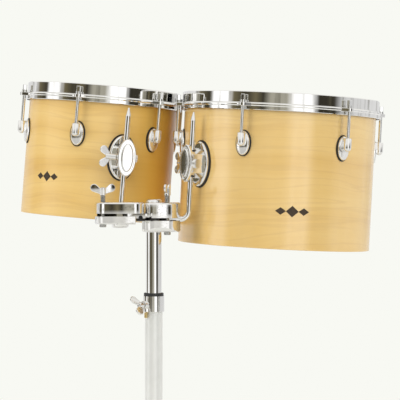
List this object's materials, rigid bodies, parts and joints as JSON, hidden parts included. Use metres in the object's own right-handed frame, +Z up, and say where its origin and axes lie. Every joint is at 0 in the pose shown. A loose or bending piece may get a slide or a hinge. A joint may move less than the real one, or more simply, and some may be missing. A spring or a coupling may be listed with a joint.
{
  "type": "double concert drums on a stand",
  "caption": "Two single-headed maple concert drums with chrome hoops and lugs, held by L-rods in a double holder on a height-adjustable folding tripod stand.",
  "frame": {"origin": "on the floor, under the centre of the object's bounding box; the stand's tube is 40.3 mm to -X and 26.1 mm to -Y of it", "axes": "+Z up the stand's tube; +X from the small drum to the large one; -Y to the audience, the side with the brackets"},
  "size_m": [0.7098, 0.6004, 0.9214],
  "materials": {
    "maple": "satin clear lacquer over pale maple with fine horizontal grain",
    "head_film": "sprayed white coated film, slightly translucent",
    "flesh_hoop_alloy": "plain satin aluminium ring",
    "hoop_chrome": "polished chrome over die casting",
    "lug_chrome": "polished chrome",
    "gasket_rubber": "matt black rubber",
    "insert_brass": "plain brass",
    "rod_chrome": "polished chrome rod",
    "screw_steel": "zinc plated steel",
    "bracket_chrome": "polished chrome casting",
    "wing_chrome": "polished chrome casting",
    "bush_plastic": "black nylon",
    "holder_chrome": "polished chrome casting",
    "spring_steel": "bright spring wire",
    "socket_black": "black oxide steel",
    "tube_chrome": "polished chrome tube",
    "tube_satin": "pale satin chrome tube",
    "leg_chrome": "polished chrome steel",
    "pin_brass": "plain brass",
    "foot_rubber": "matt black rubber"
  },
  "bodies": {
    "stand": {"lower_tube": "tube_satin", "leg_collar": "leg_chrome", "leg_pins": "screw_steel", "height_collar": "holder_chrome", "height_bushing": "bush_plastic", "height_lock_pin": "pin_brass"},
    "height_screw": {"height_wing_screw": "wing_chrome"},
    "post": {"upper_tube": "tube_chrome"},
    "holder": {"holder_body": "holder_chrome", "right_lower_jaw": "holder_chrome", "left_upper_jaw": "holder_chrome", "left_lower_jaw": "holder_chrome", "clamp_studs": "screw_steel", "clamp_springs": "spring_steel", "holder_socket_screw": "socket_black"},
    "left_nut": {"left_wing_nut": "wing_chrome"},
    "right_nut": {"right_wing_nut": "wing_chrome"},
    "brace_collar": {"brace_slider": "leg_chrome"},
    "slider_screw": {"slider_wing_screw": "wing_chrome"},
    "small_rod": {"small_l_rod": "rod_chrome"},
    "small_bush": {"small_rod_bush": "bush_plastic"},
    "small_screw": {"small_bracket_wing_screw": "wing_chrome"},
    "small_drum": {"small_shell": "maple", "small_head_film": "head_film", "small_flesh_hoop": "flesh_hoop_alloy", "small_counter_hoop": "hoop_chrome", "small_lugs": "lug_chrome", "small_lug_gaskets": "gasket_rubber", "small_swivel_inserts": "insert_brass", "small_tension_rods": "rod_chrome", "small_shell_screws": "screw_steel", "small_bracket_gasket": "gasket_rubber", "small_bracket_plate": "bracket_chrome", "small_bracket_body": "bracket_chrome", "small_bracket_cap": "bracket_chrome"},
    "large_rod": {"large_l_rod": "rod_chrome"},
    "large_bush": {"large_rod_bush": "bush_plastic"},
    "large_screw": {"large_bracket_wing_screw": "wing_chrome"},
    "large_drum": {"large_shell": "maple", "large_head_film": "head_film", "large_flesh_hoop": "flesh_hoop_alloy", "large_counter_hoop": "hoop_chrome", "large_lugs": "lug_chrome", "large_lug_gaskets": "gasket_rubber", "large_swivel_inserts": "insert_brass", "large_tension_rods": "rod_chrome", "large_shell_screws": "screw_steel", "large_bracket_gasket": "gasket_rubber", "large_bracket_plate": "bracket_chrome", "large_bracket_body": "bracket_chrome", "large_bracket_cap": "bracket_chrome"},
    "leg_1_fold": {"leg_1": "leg_chrome", "foot_1": "foot_rubber"},
    "brace_1_link": {"brace_1": "leg_chrome"},
    "leg_2_fold": {"leg_2": "leg_chrome", "foot_2": "foot_rubber"},
    "brace_2_link": {"brace_2": "leg_chrome"},
    "leg_3_fold": {"leg_3": "leg_chrome", "foot_3": "foot_rubber"},
    "brace_3_link": {"brace_3": "leg_chrome"}
  },
  "joints": [
    {"name": "height_slide", "type": "slide", "parent": "stand", "child": "post", "axis": [0, 0, 1], "range_m": [-0.09, 0.12]},
    {"name": "height_screw_turn", "type": "hinge", "parent": "stand", "child": "height_screw", "pos_m": [-0.05796, -0.04317, 0.55], "axis": [-0.7193, -0.6947, 0], "continuous": true},
    {"name": "holder_swivel", "type": "hinge", "parent": "post", "child": "holder", "pos_m": [-0.04027, -0.02608, 0.69], "axis": [0, 0, 1], "continuous": true},
    {"name": "left_nut_turn", "type": "hinge", "parent": "holder", "child": "left_nut", "pos_m": [-0.12236, -0.04608, 0.735], "axis": [0, 0, 1], "continuous": true},
    {"name": "right_nut_turn", "type": "hinge", "parent": "holder", "child": "right_nut", "pos_m": [-0.01827, -0.03608, 0.735], "axis": [0, 0, 1], "continuous": true},
    {"name": "small_tilt", "type": "hinge", "parent": "holder", "child": "small_rod", "pos_m": [-0.09536, -0.05708, 0.6965], "axis": [0, 1, 0], "range_deg": [-15, 0.5]},
    {"name": "large_tilt", "type": "hinge", "parent": "holder", "child": "large_rod", "pos_m": [-0.02027, -0.02019, 0.689], "axis": [1, 0, 0], "range_deg": [-4, 8]},
    {"name": "small_drum_height", "type": "slide", "parent": "small_rod", "child": "small_bush", "axis": [0.0802, 0, 0.9968], "range_m": [-0.04, 0.03]},
    {"name": "small_drum_swivel", "type": "hinge", "parent": "small_bush", "child": "small_drum", "pos_m": [-0.08122, 0.01951, 0.87232], "axis": [0.0802, 0, 0.9968], "range_deg": [0, 30]},
    {"name": "small_screw_turn", "type": "hinge", "parent": "small_drum", "child": "small_screw", "pos_m": [-0.10319, 0.01437, 0.79082], "axis": [-0.9453, -0.3173, 0.0761], "continuous": true},
    {"name": "large_drum_height", "type": "slide", "parent": "large_rod", "child": "large_bush", "axis": [0.0523, 0, 0.9986], "range_m": [-0.02, 0.03]},
    {"name": "large_drum_swivel", "type": "hinge", "parent": "large_bush", "child": "large_drum", "pos_m": [0.02532, -0.02019, 0.86381], "axis": [0.0523, 0, 0.9986], "range_deg": [-30, 0]},
    {"name": "large_screw_turn", "type": "hinge", "parent": "large_drum", "child": "large_screw", "pos_m": [0.01164, -0.00692, 0.78041], "axis": [-0.5728, 0.8192, 0.03], "continuous": true},
    {"name": "leg_1_hinge", "type": "hinge", "parent": "stand", "child": "leg_1_fold", "pos_m": [-0.02677, -0.0027, 0.32], "axis": [0.866, -0.5, 0], "range_deg": [-36, 0]},
    {"name": "brace_1_hinge", "type": "hinge", "parent": "leg_1_fold", "child": "brace_1_link", "pos_m": [0.0163, 0.0719, 0.22264], "axis": [0.866, -0.5, 0], "range_deg": [0, 72.2]},
    {"name": "leg_2_hinge", "type": "hinge", "parent": "stand", "child": "leg_2_fold", "pos_m": [-0.06727, -0.02608, 0.32], "axis": [0, 1, 0], "range_deg": [-36, 0]},
    {"name": "brace_2_hinge", "type": "hinge", "parent": "leg_2_fold", "child": "brace_2_link", "pos_m": [-0.15341, -0.02608, 0.22264], "axis": [0, 1, 0], "range_deg": [0, 72.2]},
    {"name": "leg_3_hinge", "type": "hinge", "parent": "stand", "child": "leg_3_fold", "pos_m": [-0.02677, -0.04947, 0.32], "axis": [-0.866, -0.5, 0], "range_deg": [-36, 0]},
    {"name": "brace_3_hinge", "type": "hinge", "parent": "leg_3_fold", "child": "brace_3_link", "pos_m": [0.0163, -0.12407, 0.22264], "axis": [-0.866, -0.5, 0], "range_deg": [0, 72.2]},
    {"name": "brace_collar_slide", "type": "slide", "parent": "stand", "child": "brace_collar", "axis": [0, 0, 1], "range_m": [-0.06437, 0]},
    {"name": "slider_screw_turn", "type": "hinge", "parent": "brace_collar", "child": "slider_screw", "pos_m": [-0.05317, -0.04843, 0.12527], "axis": [-0.5, -0.866, 0], "continuous": true}
  ],
  "couplings": [
    {"joint": "leg_2_hinge", "follows": "leg_1_hinge", "ratio": 1},
    {"joint": "leg_3_hinge", "follows": "leg_1_hinge", "ratio": 1},
    {"joint": "brace_1_hinge", "follows": "leg_1_hinge", "ratio": -2},
    {"joint": "brace_2_hinge", "follows": "leg_1_hinge", "ratio": -2},
    {"joint": "brace_3_hinge", "follows": "leg_1_hinge", "ratio": -2},
    {"joint": "brace_collar_slide", "follows": "leg_1_hinge", "m_per_rad": 0.10198}
  ]
}
